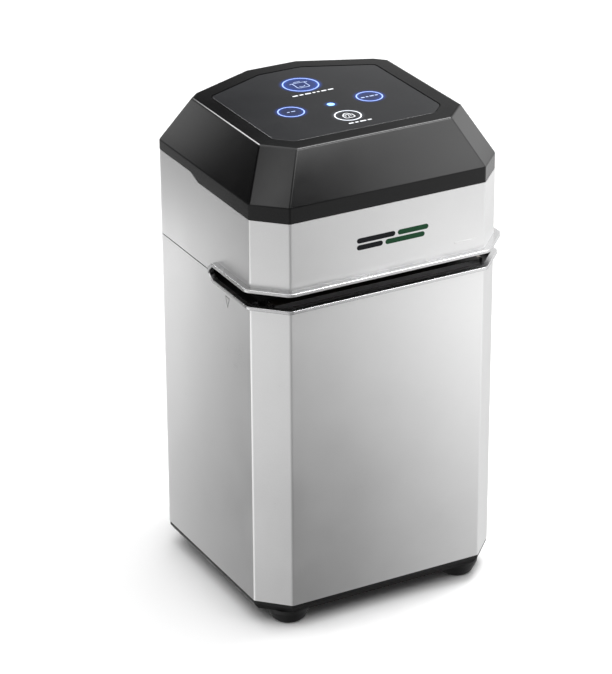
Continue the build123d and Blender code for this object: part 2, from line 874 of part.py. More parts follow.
def board_parts():
    """Capacitors and a relay on the power board."""
    y = front_y + chassis_back + 11.1
    parts = [rod_y(8, y, y + 25, x, z) for x, z in ((14, 76), (34, 76), (24, 98))]
    parts.append(block(-44, -20, y, y + 15, 110, 128))
    parts.append(block(40, 54, y, y + 12, 88, 130))
    return group(parts)


def heat_sink():
    """The finned heat sink on the power board."""
    y = front_y + chassis_back + 11.1
    sink = block(-8, 32, y, y + 4, 112, 134)
    for i in range(6):
        x = -8 + i * 7.6
        sink += block(x, x + 2, y + 3, y + 24, 112, 134)
    return sink


def inlet_socket():
    """The mains inlet in the rear wall: a flanged two-pin socket body."""
    half_w, half_h = inlet_width / 2 - 0.3, inlet_height / 2 - 0.3
    body = block(-half_w, half_w, back_y - 18, back_y, inlet_z - half_h, inlet_z + half_h)
    flange = block(-half_w - 3, half_w + 3, back_y, back_y + 2, inlet_z - half_h - 3, inlet_z + half_h + 3)
    flange = fillet(flange.edges().filter_by(Axis.Y), 3.0)
    body += flange
    well = Plane((0, back_y + 3, inlet_z), x_dir=(1, 0, 0), z_dir=(0, 1, 0)) * SlotOverall(19.0, 11.0)
    body -= extrude(well, 18.0, dir=(0, -1, 0))
    for sx in (-1, 1):
        body -= rod_y(1.2, back_y - 20, back_y - 4, sx * 4.3, inlet_z)
    return body


def inlet_pins():
    """The inlet's two round pins."""
    return group([rod_y(1.2, back_y - 24, back_y - 4, sx * 4.3, inlet_z) for sx in (-1, 1)])


def inlet_leads():
    """The two insulated leads from the inlet to the power board."""
    leads = []
    end_y = front_y + chassis_back + 11.1
    for sx in (-1, 1):
        start = (sx * 4.3, back_y - 24, inlet_z)
        points = [
            start, (sx * 4.3, back_y - 34, inlet_z), (sx * 11, end_y + 12, inlet_z + 6),
            (sx * 11, end_y, inlet_z + 6),
        ]
        path = FilletPolyline(*points, radius=6)
        section = Plane(origin=start, z_dir=(0, -1, 0)) * Circle(1.5)
        leads.append(sweep(section, path))
    return group(leads)


# ---------------------------------------------------------------- hinge
def knuckle_spans(head):
    """The spans along X of the hinge's knuckles, for the head or for the tower."""
    width = hinge_width / 5
    gap = 0.2
    spans = []
    for i in range(5):
        if (i % 2 == 1) == head:
            x0 = -hinge_width / 2 + i * width
            spans.append((x0 + gap, x0 + width - gap))
    return spans


def hinge_screw_spots(z):
    """The two screws of a hinge leaf, at height z."""
    return [(sx * hinge_width * 0.32, z) for sx in (-1, 1)]


def hinge_screw_holes(way):
    """The holes for the screws of the upper leaf, or of the lower leaf if way is -1."""
    spots = hinge_screw_spots(hinge_z + way * (6 + hinge_leaf_height / 2))
    return group([rod_y(1.5 + screw_gap, back_y - 8, back_y + 3, x, z) for x, z in spots])


def hinge_leaf(head):
    """One leaf of the hinge, with its knuckles."""
    way = 1 if head else -1
    near = hinge_z + way * 6
    far = near + way * hinge_leaf_height
    z0, z1 = sorted((near, far))
    half = hinge_width / 2
    leaf = block(-half, half, back_y, back_y + hinge_leaf_thick, z0, z1)
    leaf = fillet(leaf.edges().filter_by(Axis.Y).group_by(Axis.Z)[-1 if head else 0], 3.0)
    bore = hinge_pin_radius + (running_gap if head else 0.0)
    for x0, x1 in knuckle_spans(head):
        web_z = sorted((hinge_z + way * 1.2, near + way * 1.0))
        leaf += block(x0, x1, back_y, hinge_y, *web_z)
        leaf += rod_x(hinge_barrel_radius, x0, x1, hinge_y, hinge_z)
        leaf -= rod_x(bore, x0 - 1, x1 + 1, hinge_y, hinge_z)
    return leaf - hinge_screw_holes(way)


def hinge_pin():
    """The hinge's pin, tight in the tower's knuckles."""
    return rod_x(hinge_pin_radius, -hinge_width / 2 - 0.5, hinge_width / 2 + 0.5, hinge_y, hinge_z)


def hinge_screws(head):
    """The screws of one hinge leaf."""
    way = 1 if head else -1
    z = hinge_z + way * (6 + hinge_leaf_height / 2)
    seat = back_y + hinge_leaf_thick
    return group([screw_y(x, z, seat, 8.0) for x, z in hinge_screw_spots(z)])


# ---------------------------------------------------------------- head: outside
step_top_back = 111.0
step_low_back = 99.0


def band_top_line(drop=0.0):
    """The line between the band and the cover, which steps up behind the middle of the sides."""
    return [
        (far_front, band_z - drop), (step_low_back, band_z - drop),
        (step_top_back, band_z + band_rear_rise - drop), (far_back, band_z + band_rear_rise - drop),
    ]


def head_band():
    """The steel band of the head, with its slot edge below and its step above."""
    top = band_z + band_rear_rise + 1
    band = prism(plan(), seam_high, top) - prism(plan(-shell_wall), seam_high - 1, top + 1)
    _, lip_top = upper_trim_lines()
    under = [(b, seam_high - 20) for b, _ in lip_top]
    band -= side_band(under, lip_top)
    line = band_top_line()
    band -= side_band(line, [(b, top + 20) for b, _ in line])
    band -= hinge_screw_holes(1)
    return band


def hipped(grow, low, knee, top):
    """A solid with the head's faceted form, each face moved out by about grow."""
    lean = math.hypot(hip_inset, hip_height) / hip_height
    at_knee = plan_points(grow)
    at_roof = roof_points(grow * lean)
    skirt = prism(make_face(Polyline(*at_knee, close=True)), low, knee)
    hip = loft([Pos(0, 0, knee) * make_face(Polyline(*at_knee, close=True)),
                Pos(0, 0, top) * make_face(Polyline(*at_roof, close=True))], ruled=True)
    return skirt + hip


def top_cover():
    """The moulded cover: a stepped skirt, hipped facets, a roof with the panel's recess, and a rim."""
    outer = hipped(-0.25, band_z - 2, knee_z, roof_z)
    upright = [e for e in outer.edges() if abs(e.center().Z - (band_z - 2 + knee_z) / 2) < 0.5]
    front = [e for e in upright if e.center().Y < front_y + front_chamfer + 1]
    sloping = [e for e in outer.edges() if abs(e.center().Z - (knee_z + roof_z) / 2) < 0.5]
    roof_edges = [e for e in outer.edges() if e.center().Z > roof_z - 0.01]
    knees = [e for e in outer.edges() if abs(e.center().Z - knee_z) < 0.01]
    outer = fillet(upright + sloping + roof_edges + knees, cover_edge_radius)
    line = band_top_line(-0.3)
    outer -= side_band([(b, band_z - 30) for b, _ in line], line)
    inner_roof = roof_z - glass_thick - 2.2
    inner = hipped(-moulding_wall - 0.25, band_z - 40, knee_z, inner_roof)
    cover = outer - inner
    rim = prism(plan(-shell_wall - fit_gap), band_z - 10, band_z + 6)
    rim -= prism(plan(-shell_wall - fit_gap - 2), band_z - 11, band_z + 7)
    cover += rim
    cover -= prism(panel(0.0), roof_z - glass_thick - 0.2, roof_z + 1)
    window = make_face(Polyline(*roof_points(-panel_inset - ledge_width), close=True))
    cover -= prism(window, inner_roof - 1, roof_z + 1)
    return cover


panel_front = hip_front_inset + panel_inset
panel_rear = body_depth - hip_rear_inset - panel_inset


def panel_back(share):
    """How far behind the front face a place on the panel is, from 0 at its front to 1 at its rear."""
    return panel_front + share * (panel_rear - panel_front)


icon_spots = {
    "large": (0.0, panel_back(0.745), icon_large_radius),
    "left": (-32.0, panel_back(0.398), icon_small_radius),
    "right": (32.0, panel_back(0.398), icon_small_radius),
    "front": (0.0, panel_back(0.2), icon_small_radius),
}
status_back = panel_back(0.394)


def glass_top():
    """The height of the control panel's surface."""
    return roof_z - 0.2


def touch_panel():
    """The dark glass of the control panel, with grooves for the light rings."""
    top = glass_top()
    glass = prism(panel(-panel_gap), top - glass_thick, top)
    edges = glass.edges().group_by(Axis.Z)[-1]
    glass = fillet(edges, 0.3)
    for x, back, radius in icon_spots.values():
        glass -= ring_z(radius, radius - icon_ring_width, top - icon_depth, top + 1, x, front_y + back)
    return glass - rod_z(status_led_radius, top - icon_depth, top + 1, 0, front_y + status_back)


def light_ring(name):
    """A clear ring, flush in the glass, that lights up round a touch button."""
    x, back, radius = icon_spots[name]
    top = glass_top()
    return ring_z(radius, radius - icon_ring_width, top - icon_depth, top, x, front_y + back)


def status_lens():
    """The status light's lens, flush in the glass."""
    top = glass_top()
    return rod_z(status_led_radius, top - icon_depth, top, 0, front_y + status_back)


board_top = roof_z - 9.0


def control_board():
    """The control panel's circuit board, under the glass."""
    board = make_face(Polyline(*roof_points(-panel_inset - ledge_width), close=True))
    board = prism(board, board_top - 1.6, board_top)
    for x, y in board_post_spots():
        board -= rod_z(1.6, board_top - 3, board_top + 1, x, y)
    return board


def board_post_spots():
    """Where the control board is held, as (x, y)."""
    x = half_width - hip_inset - panel_inset - ledge_width - 9.5
    return [(sx * x, front_y + panel_back(share)) for share in (0.236, 0.668) for sx in (-1, 1)]


def board_posts():
    """Spacers and screws that hang the control board from the glass."""
    posts = []
    for x, y in board_post_spots():
        posts.append(rod_z(3, board_top, glass_top() - glass_thick, x, y))
        posts.append(screw_z(x, y, board_top - 1.6, 1.6, head=2.5, shank=1.4, up=False))
    return group(posts)


def board_leds():
    """The light sources and the chip on the control board."""
    leds = []
    for x, back, radius in icon_spots.values():
        for i in range(4):
            angle = math.pi / 4 + i * math.pi / 2
            cx = x + (radius - 0.5) * math.cos(angle)
            cy = front_y + back + (radius - 0.5) * math.sin(angle)
            leds.append(block(cx - 1.2, cx + 1.2, cy - 0.8, cy + 0.8, board_top, board_top + 1.0))
    leds.append(block(-1.5, 1.5, front_y + status_back - 1, front_y + status_back + 1,
                      board_top, board_top + 1.0))
    middle = front_y + panel_back(0.5)
    leds.append(block(-8, 8, middle - 4, middle + 4, board_top - 3.2, board_top - 1.6))
    return group(leds)


def beeper():
    """The round sounder under the control board."""
    return rod_z(6, board_top - 9.6, board_top - 1.6, 30, front_y + panel_back(0.668))


# ---------------------------------------------------------------- head: mechanism
jaw_front_back = 9.0
jaw_rear_back = chamber_back + chamber_depth + 7.0
jaw_half = 88.0
jaw_corner = 9.0


def jaw_outline(grow):
    """The clamp jaw's outline in plan, with its front corners cut to follow the body's."""
    half, cut = jaw_half + grow, jaw_corner
    near, far = front_y + jaw_front_back - grow, front_y + jaw_rear_back + grow
    points = [(half - cut, near), (half, near + cut), (half, far), (-half, far),
              (-half, near + cut), (-half + cut, near)]
    return make_face(Polyline(*points, close=True))


def striker_window(side):
    """The hole in the head's floor that the lock bracket comes up through."""
    y = front_y + striker_back()
    x0, x1 = sorted((side * (striker_plate_x - 3), side * (hook_x + hook_thick + 4)))
    return block(x0, x1, y - 11, y + 8, head_tray_z - 1, head_floor + 1)


def head_tray():
    """The moulded floor of the head, open for the clamp jaw and the lock brackets."""
    tray = prism(plan(-shell_wall - fit_gap), head_tray_z, head_floor)
    wall = prism(plan(-shell_wall - fit_gap), head_floor, head_floor + 8)
    wall -= prism(plan(-shell_wall - fit_gap - 2), head_floor - 1, head_floor + 9)
    wall &= block(-200, 200, front_y + slot_end_back + 14, back_y, 0, 400)
    tray += wall
    tray -= prism(jaw_outline(1.5), head_tray_z - 1, head_floor + 10)
    tray -= striker_window(1) + striker_window(-1)
    for x, y in guide_spots():
        tray -= rod_z(guide_post_radius, head_tray_z - 1, head_floor + 1, x, y)
    for x, y in head_post_spots():
        tray -= rod_z(1.5 + screw_gap, head_tray_z - 1, head_floor + 1, x, y)
    return tray - hinge_screw_holes(1)


def head_post_spots():
    """Where the head's tie posts stand, beside the control board."""
    x = half_width - hip_inset - panel_inset - ledge_width + post_radius + 0.5
    return [(sx * x, y) for y in (shaft_y + 22.0, back_y - head_post_inset) for sx in (-1, 1)]


def head_posts():
    """Steel posts that tie the head's floor to its cover."""
    posts = []
    top = roof_z - glass_thick - 2.2
    for x, y in head_post_spots():
        post = rod_z(post_radius, head_floor, top, x, y)
        posts.append(post - rod_z(1.5, head_floor - 1, head_floor + 12, x, y))
    return group(posts)


def head_screws():
    """The screws under the head's floor."""
    return group([screw_z(x, y, head_tray_z, 12.0, up=False) for x, y in head_post_spots()])


def jaw_block():
    """The hollow pressure block of the clamp jaw."""
    body = prism(jaw_outline(0.0), jaw_block_z, jaw_plate_z)
    hollow = prism(jaw_outline(-3.0), jaw_block_z + 3, jaw_plate_z + 1)
    ribs = [block(x - 1.2, x + 1.2, front_y, front_y + 100, 0, 400) for x in (-44, 0, 44)]
    for rib in ribs:
        hollow -= rib
    return body - hollow


def pressure_strip():
    """The silicone strip that presses the bag onto the heating strip."""
    y = front_y + seal_back
    half = seal_length / 2
    strip = block(-half, half, y, y + seal_depth, jaw_low, jaw_block_z)
    low = strip.edges().filter_by(Axis.X).group_by(Axis.Z)[0]
    return fillet(low, 1.2)


def jaw_plate():
    """The aluminium plate that joins the pressure block to the racks and guides."""
    z0, z1 = jaw_plate_z, jaw_plate_z + jaw_plate_thick
    plate = block(-70, 70, front_y + jaw_front_back + 3, front_y + jaw_rear_back, z0, z1)
    plate += block(-60, 60, front_y + jaw_rear_back - 1, shaft_y + 17, z0, z1)
    for x, y in guide_spots():
        plate -= rod_z(5, z0 - 1, z1 + 1, x, y)
    for x, y in jaw_screw_spots():
        plate -= rod_z(1.5 + screw_gap, z0 - 1, z1 + 1, x, y)
    return plate


def jaw_screw_spots():
    """The screws between the plate and the block's ribs and walls."""
    return [(x, front_y + back) for x in (-44, 0, 44) for back in (24.0, 54.0)]


def jaw_screws():
    """The screws that hold the plate down."""
    seat = jaw_plate_z + jaw_plate_thick
    return group([screw_z(x, y, seat, jaw_plate_thick, head=2.8) for x, y in jaw_screw_spots()])


def guide_spots():
    """Where the jaw's guide posts stand."""
    return [(sx * guide_post_x, shaft_y - 2) for sx in (-1, 1)]


def guide_posts():
    """The steel posts that the jaw slides on."""
    top = shaft_z - shaft_radius - 6
    posts = []
    for x, y in guide_spots():
        posts.append(rod_z(guide_post_radius, head_tray_z, top, x, y) + rod_z(6, head_floor, head_floor + 1.5, x, y))
    return group(posts)


def guide_bushes():
    """The brass bushes in the jaw's plate."""
    z0, z1 = jaw_plate_z - 2, jaw_plate_z + jaw_plate_thick + 4
    bushes = []
    for x, y in guide_spots():
        body = rod_z(5, z0, z1, x, y) + rod_z(6.5, z1 - 4, z1 - 2, x, y)
        bushes.append(body - rod_z(guide_post_radius + running_gap, z0 - 1, z1 + 1, x, y))
    return group(bushes)


def jaw_rack(side):
    """One of the jaw's two racks."""
    x0, x1 = sorted((side * (rack_at_x - 3.5), side * (rack_at_x + 3.5)))
    z0 = jaw_plate_z + jaw_plate_thick
    return rack_bar(x0, x1, z0, shaft_z + jaw_travel + 12, 5.5)


def lock_shaft():
    """The cross shaft that lifts the jaw and turns the lock hooks."""
    end = hook_x + hook_thick + 1
    return rod_x(shaft_radius, -end, end, shaft_y, shaft_z)


def jaw_pinion(side):
    """A pinion that drives a rack."""
    x0, x1 = sorted((side * (rack_at_x - pinion_width / 2), side * (rack_at_x + pinion_width / 2)))
    return spur_gear(pinion_module, pinion_teeth, 0.0, x0, x1, shaft_y, shaft_z, shaft_radius)


def drive_gear():
    """The large gear on the cross shaft."""
    x0, x1 = drive_gear_x, drive_gear_x + drive_gear_width
    gear = spur_gear(drive_module, drive_teeth, 0.0, x0, x1, shaft_y, shaft_z, shaft_radius)
    gear += rod_x(6, x1, x1 + 4, shaft_y, shaft_z) - rod_x(shaft_radius, x1 - 1, x1 + 5, shaft_y, shaft_z)
    for i in range(6):
        angle = 2 * math.pi * i / 6
        gear -= rod_x(3, x0 - 1, x1 + 1, shaft_y + 10.5 * math.cos(angle), shaft_z + 10.5 * math.sin(angle))
    return gear


def lock_hook(side):
    """A hook on the cross shaft, which turns under the lock pin as the jaw closes."""
    closed_turn = jaw_travel / pinion_radius
    behind = (lock_pin_radius + hook_arm_half + 0.6) / lock_pin_reach
    rest = lock_pin_angle + behind + closed_turn
    inner = lock_pin_reach + lock_pin_radius + 0.6
    outer = inner + hook_nose_thick
    x0, x1 = hook_x, hook_x + hook_thick
    hub = rod_x(8, x0, x1, 0, 0)
    arm = block(x0, x1, 0, outer - 1.0, -hook_arm_half, hook_arm_half)
    nose = rod_x(outer, x0, x1, 0, 0) - rod_x(inner, x0 - 1, x1 + 1, 0, 0)
    back = math.degrees(behind) * 1.75
    wedge = [(0, 0), (2 * outer, hook_arm_half * 2 * outer / outer * 1.0),
             (2 * outer * math.cos(math.radians(back)), -2 * outer * math.sin(math.radians(back)))]
    sector = extrude(Plane.YZ * make_face(Polyline(*wedge, close=True)), 200, both=True)
    hook = hub + arm + (nose & sector)
    hook -= rod_x(shaft_radius, x0 - 1, x1 + 1, 0, 0)
    placed = Pos(0, shaft_y, shaft_z) * Rot(math.degrees(rest), 0, 0) * hook
    return placed if side > 0 else mirrored(placed)


def shaft_bearing(side):
    """A bearing block on the head's floor."""
    x0, x1 = sorted((side * 75.5, side * 80.0))
    body = block(x0, x1, shaft_y - 8, shaft_y + 8, head_floor, shaft_z)
    body += rod_x(8, x0, x1, shaft_y, shaft_z)
    body += block(*sorted((side * 66.0, side * 80.0)), shaft_y + 0.5, shaft_y + 8, head_floor, head_floor + 4)
    return body - rod_x(shaft_radius + running_gap, x0 - 1, x1 + 1, shaft_y, shaft_z)


def motor_bracket():
    """The bent plate that holds the clamp motor."""
    x0, x1 = 25.0, 28.0
    plate = block(x0, x1, motor_y - 5, motor_y + 14, head_floor, motor_z() + 15)
    plate += block(x0 - 16, x1, motor_y, motor_y + 14, head_floor, head_floor + 2.5)
    return plate - rod_x(3.5, x0 - 1, x1 + 1, motor_y, motor_z())


def motor_z():
    """The clamp motor's height."""
    return shaft_z


def clamp_gearbox():
    """The clamp motor's reduction gearbox."""
    return rod_x(13, 5, 25, motor_y, motor_z()) - rod_x(2.5 + running_gap, 14, 26, motor_y, motor_z())


def clamp_motor():
    """The clamp motor's can, with its two tabs."""
    can = rod_x(12, -38, 5, motor_y, motor_z())
    can = fillet(can.edges().group_by(Axis.X)[0], 2.0)
    for dz in (-6, 6):
        can += block(-42, -37, motor_y - 1.5, motor_y + 1.5, motor_z() + dz - 0.4, motor_z() + dz + 0.4)
    return can


def motor_pinion():
    """The pinion on the gearbox's output shaft."""
    turn = math.pi / motor_teeth
    x0, x1 = drive_gear_x, drive_gear_x + drive_gear_width
    gear = spur_gear(drive_module, motor_teeth, turn, x0, x1, motor_y, motor_z(), 2.0)
    return gear + rod_x(2.5, 15, x1 + 1, motor_y, motor_z())


# ---------------------------------------------------------------- build
def build():
    """Every node of the machine, by name."""
    return {
        "tower_shell": tower_shell(),
        "base_tray": base_tray(),
        "feet": group([foot(x, y) for x, y in foot_spots()]),
        "slot_lower_trim": lip(lower_lip_out, lower_trim_lines()),
        "tower_screws": group([foot_screws(), tie_screws(), striker_screws(), hinge_screws(False)]),
        "tie_posts": tie_posts(),
        "jaw_deck": jaw_deck(),
        "lower_gasket": gasket(deck_z, seal_top + 0.1),
        "seal_bar": seal_bar(),
        "heating_strip": heating_strip(),
        "seal_tape": seal_tape(),
        "strip_terminals": strip_terminals(),
        "drip_tray": drip_tray(),
        "lock_strikers": group([lock_striker(side) for side in (-1, 1)]),
        "pump_motor": pump_motor(),
        "pump_crankcase": pump_crankcase(),
        "pump_head": pump_head(),
        "pump_rotor": pump_rotor(),
        "pump_fan": pump_fan(),
        "pump_base": pump_base(),
        "pump_mounts": pump_mounts(),
        "vacuum_hose": vacuum_hose(),
        "release_valve": release_valve(),
        "valve_plunger": valve_plunger(),
        "chassis": chassis(),
        "power_board": group([power_board(), board_parts()]),
        "board_standoffs": board_standoffs(),
        "transformer": group([transformer(), transformer_coil()]),
        "heat_sink": heat_sink(),
        "inlet_socket": inlet_socket(),
        "inlet_leads": group([inlet_pins(), inlet_leads()]),
        "hinge_lower_leaf": hinge_leaf(False),
        "hinge_pin": hinge_pin(),
        "hinge_upper_leaf": hinge_leaf(True),
        "head_band": head_band(),
        "slot_upper_trim": lip(upper_lip_out, upper_trim_lines()),
        "top_cover": top_cover(),
        "touch_panel": touch_panel(),
        "light_rings_blue": group([light_ring(name) for name in ("large", "left", "right")]),
        "light_ring_white": light_ring("front"),
        "status_lens": status_lens(),
        "control_board": group([control_board(), board_leds(), beeper(), board_posts()]),
        "head_tray": head_tray(),
        "head_posts": head_posts(),
        "head_screws": group([head_screws(), hinge_screws(True)]),
        "shaft_bearings": group([shaft_bearing(side) for side in (-1, 1)]),
        "guide_posts": guide_posts(),
        "motor_bracket": motor_bracket(),
        "clamp_gearbox": clamp_gearbox(),
        "clamp_motor": clamp_motor(),
        "motor_pinion": motor_pinion(),
        "lock_shaft": lock_shaft(),
        "drive_gear": drive_gear(),
        "jaw_pinions": group([jaw_pinion(side) for side in (-1, 1)]),
        "lock_hooks": group([lock_hook(side) for side in (-1, 1)]),
        "jaw_racks": group([jaw_rack(side) for side in (-1, 1)]),
        "jaw_block": jaw_block(),
        "pressure_strip": pressure_strip(),
        "upper_gasket": gasket(jaw_low, jaw_block_z),
        "jaw_plate": group([jaw_plate(), jaw_screws(), guide_bushes()]),
    }


os.makedirs("parts", exist_ok=True)
for name, shape in build().items():
    export_step(shape, f"parts/{name}.step")
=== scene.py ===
"""Looks for the vacuum packing machine: materials, printed marks, small fittings, light and camera."""

import json
import math

import bmesh
import bpy
from mathutils import Matrix, Vector


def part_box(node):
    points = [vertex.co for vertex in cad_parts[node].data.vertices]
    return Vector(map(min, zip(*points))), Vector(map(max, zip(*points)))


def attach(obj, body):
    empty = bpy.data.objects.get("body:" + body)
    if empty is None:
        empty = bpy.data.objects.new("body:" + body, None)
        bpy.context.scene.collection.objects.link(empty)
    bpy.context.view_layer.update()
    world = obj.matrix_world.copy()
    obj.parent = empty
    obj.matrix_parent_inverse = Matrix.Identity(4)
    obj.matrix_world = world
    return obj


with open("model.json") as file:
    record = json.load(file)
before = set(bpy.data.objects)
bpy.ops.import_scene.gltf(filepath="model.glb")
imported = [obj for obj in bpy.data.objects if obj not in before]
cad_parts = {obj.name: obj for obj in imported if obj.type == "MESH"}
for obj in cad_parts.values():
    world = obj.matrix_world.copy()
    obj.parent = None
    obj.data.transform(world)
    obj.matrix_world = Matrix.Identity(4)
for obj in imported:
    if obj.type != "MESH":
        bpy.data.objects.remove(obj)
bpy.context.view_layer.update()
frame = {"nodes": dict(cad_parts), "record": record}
NODES = frame["nodes"]

MM = 0.001

# ---------------------------------------------------------------- places, from the frame
GLASS_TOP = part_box("touch_panel")[1][2]
LEFT_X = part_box("tower_shell")[0][0]
FRONT_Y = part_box("head_band")[0][1]
RINGS_LOW, RINGS_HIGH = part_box("light_rings_blue")
WHITE_LOW, WHITE_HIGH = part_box("light_ring_white")
LENS_LOW, LENS_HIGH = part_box("status_lens")

# The large ring shares its node with two small ones, so its radius is given here.
LARGE_R = 13.6 * MM
LENS_R = 2.8 * MM
SMALL_R = (WHITE_HIGH[0] - WHITE_LOW[0]) / 2
SIDE_X = RINGS_HIGH[0] - SMALL_R
LARGE_C = (0.0, RINGS_HIGH[1] - LARGE_R)
SIDE_Y = RINGS_LOW[1] + SMALL_R
WHITE_C = (0.0, (WHITE_LOW[1] + WHITE_HIGH[1]) / 2)
LENS_C = (0.0, (LENS_LOW[1] + LENS_HIGH[1]) / 2)


# ---------------------------------------------------------------- node helpers
class Graph:
    """A small writer of shader nodes."""

    def __init__(self, tree, keep=False):
        self.tree = tree
        self.nodes = tree.nodes
        if not keep:
            self.nodes.clear()

    def add(self, kind, inputs=None, **settings):
        node = self.nodes.new(kind)
        for key, value in settings.items():
            setattr(node, key, value)
        for key, value in (inputs or {}).items():
            self.feed(node, key, value)
        return node

    def feed(self, node, key, value):
        socket = node.inputs[key]
        if isinstance(value, bpy.types.NodeSocket):
            self.tree.links.new(value, socket)
        else:
            socket.default_value = value

    def math(self, operation, a, b=0.0, clamp=False):
        return self.add("ShaderNodeMath", {0: a, 1: b}, operation=operation, use_clamp=clamp).outputs[0]

    def remap(self, value, low, high, to_low, to_high, smooth=False):
        kind = "SMOOTHSTEP" if smooth else "LINEAR"
        inputs = {"Value": value, "From Min": low, "From Max": high, "To Min": to_low, "To Max": to_high}
        return self.add("ShaderNodeMapRange", inputs, interpolation_type=kind).outputs["Result"]

    def blend(self, factor, a, b):
        node = self.add("ShaderNodeMix", data_type="RGBA")
        self.feed(node, 0, factor)
        self.feed(node, 6, a)
        self.feed(node, 7, b)
        return node.outputs[2]

    def noise(self, scale, detail=3.0, rough=0.5, stretch=None):
        vector = self.place
        if stretch:
            node = self.add("ShaderNodeMapping", {"Vector": vector, "Scale": stretch})
            vector = node.outputs["Vector"]
        node = self.add("ShaderNodeTexNoise", {"Vector": vector, "Scale": scale, "Detail": detail,
                                               "Roughness": rough})
        return node.outputs["Fac"]

    @property
    def place(self):
        if not hasattr(self, "_place"):
            self._place = self.add("ShaderNodeTexCoord").outputs["Object"]
        return self._place


def rgba(colour):
    """A colour with full opacity."""
    return (colour[0], colour[1], colour[2], 1.0)


def shade(colour, factor):
    """A colour made lighter or darker."""
    return rgba([min(1.0, c * factor) for c in colour])


MOTTLE_SCALE = 22.0
EDGE_BREAKUP_SCALE = 160.0
DUST_SCALE = 400.0
DUST_COLOUR = (0.5, 0.49, 0.47, 1.0)


def surface(name, colour, rough, metal=0.0, grain=1500.0, bump=0.2, depth=0.05, mottle=0.08, spread=0.06,
            stretch=None, edge=0.0, edge_size=0.6, edge_colour=None, dust=0.0, **fixed):
    """A procedural material: grain in the bump, slow variation in colour and gloss, and edges lightened along
    the bevel, partly as wear and partly as a painted highlight.
    """
    mat = bpy.data.materials.new(name)
    mat.use_nodes = True
    g = Graph(mat.node_tree)
    out = g.add("ShaderNodeOutputMaterial")
    body = g.add("ShaderNodeBsdfPrincipled", {"Metallic": metal})
    for key, value in fixed.items():
        body.inputs[key.replace("_", " ")].default_value = value
    slow = g.noise(MOTTLE_SCALE, 4.0, 0.6)
    fine = g.noise(grain, 2.0, 0.5, stretch)
    tint = g.blend(slow, shade(colour, 1 - mottle), shade(colour, 1 + mottle))
    speck = g.remap(fine, 0.3, 0.7, 1 - mottle / 2, 1 + mottle / 2)
    tint = g.add("ShaderNodeVectorMath", {0: tint, 3: speck}, operation="SCALE").outputs[0]
    gloss = g.math("ADD", g.remap(slow, 0.3, 0.7, rough - spread, rough + spread),
                   g.remap(fine, 0.3, 0.7, -spread / 2, spread / 2))
    relief = g.add("ShaderNodeBump", {"Strength": bump, "Distance": depth * MM, "Height": fine})
    # Lightened edges: where the bevelled normal parts from the true one, the colour moves to edge_colour,
    # partly wear and partly a painted highlight along the rims.
    if edge > 0:
        soft = g.add("ShaderNodeBevel", {"Radius": edge_size * MM}, samples=4)
        sharp = g.add("ShaderNodeNewGeometry").outputs["Normal"]
        match = g.add("ShaderNodeVectorMath", {0: soft.outputs[0], 1: sharp}, operation="DOT_PRODUCT")
        wear_and_highlight = g.remap(match.outputs["Value"], 0.995, 0.90, 0.0, edge)
        edge_breakup = g.remap(g.noise(EDGE_BREAKUP_SCALE, 4.0, 0.7), 0.35, 0.6, 0.4, 1.0)
        wear_and_highlight = g.math("MULTIPLY", wear_and_highlight, edge_breakup, clamp=True)
        tint = g.blend(wear_and_highlight, tint, rgba(edge_colour or [min(1.0, c * 2.2 + 0.03) for c in colour]))
        gloss = g.math("ADD", gloss, g.math("MULTIPLY", wear_and_highlight, 0.08))
    if dust > 0:
        normal = g.add("ShaderNodeNewGeometry").outputs["Normal"]
        up = g.add("ShaderNodeSeparateXYZ", {0: normal}).outputs["Z"]
        patchy = g.remap(g.noise(DUST_SCALE, 5.0, 0.7), 0.45, 0.7, 0.2, 1.0)
        cover = g.math("MULTIPLY", g.remap(up, 0.3, 1.0, 0.0, dust), patchy)
        tint = g.blend(cover, tint, DUST_COLOUR)
    g.feed(body, "Base Color", tint)
    g.feed(body, "Roughness", gloss)
    g.feed(body, "Normal", relief.outputs[0])
    g.tree.links.new(body.outputs[0], out.inputs[0])
    mat.diffuse_color = rgba(colour)
    return mat


RING_EDGE = 1.2 * MM
HALO_REACH = 4.2 * MM
HALO_FALL = 2.6


